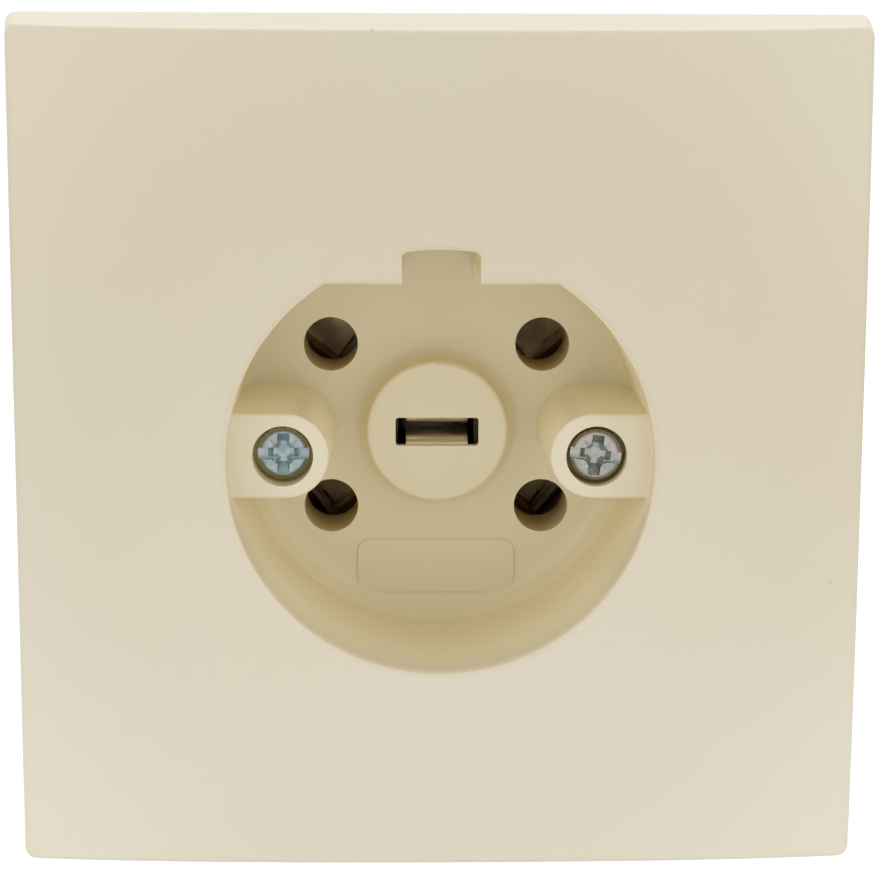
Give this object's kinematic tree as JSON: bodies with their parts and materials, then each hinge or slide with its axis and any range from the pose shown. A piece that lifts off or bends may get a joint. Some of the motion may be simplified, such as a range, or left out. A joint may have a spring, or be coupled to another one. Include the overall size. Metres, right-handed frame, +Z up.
{
  "type": "perilex socket",
  "caption": "Square cream flush wall socket with a round keyed recess, round pin holes, a central earth slot on a raised boss and screw posts at each side.",
  "frame": {"origin": "midpoint between the two box screw holes, on the plane of the wall: the back of the support ring and the rear rim of the cover plate", "axes": "+Z up with the key slot at the top, the front faces -Y, the wall is at +Y, +X to the right as seen from the front"},
  "size_m": [0.08, 0.0499, 0.08],
  "materials": {
    "cover_thermoset": "glossy moulded thermoset, warm cream white",
    "base_thermoset": "satin dark brown moulded thermoset",
    "screw_steel": "bright zinc-plated steel",
    "ring_steel": "galvanised sheet steel",
    "rivet_steel": "zinc-plated steel",
    "contact_brass": "bright rolled brass strip",
    "terminal_brass": "drawn brass, dull",
    "spring_steel": "blued spring steel strip"
  },
  "bodies": {
    "root": {"cover_plate": "cover_thermoset", "cover_screw_left": "screw_steel", "cover_screw_right": "screw_steel", "thread_bush_left": "terminal_brass", "thread_bush_right": "terminal_brass", "support_ring": "ring_steel", "ring_rivets": "rivet_steel", "socket_base": "base_thermoset", "rear_cover": "base_thermoset", "rear_cover_screws": "screw_steel", "contact_l1": "contact_brass", "spring_l1": "spring_steel", "terminal_l1": "terminal_brass", "terminal_screw_l1": "screw_steel", "contact_l2": "contact_brass", "spring_l2": "spring_steel", "terminal_l2": "terminal_brass", "terminal_screw_l2": "screw_steel", "contact_l3": "contact_brass", "spring_l3": "spring_steel", "terminal_l3": "terminal_brass", "terminal_screw_l3": "screw_steel", "contact_n": "contact_brass", "spring_n": "spring_steel", "terminal_n": "terminal_brass", "terminal_screw_n": "screw_steel", "contact_earth": "contact_brass", "spring_earth": "spring_steel", "terminal_earth": "terminal_brass", "terminal_screw_earth": "screw_steel"}
  },
  "joints": []
}
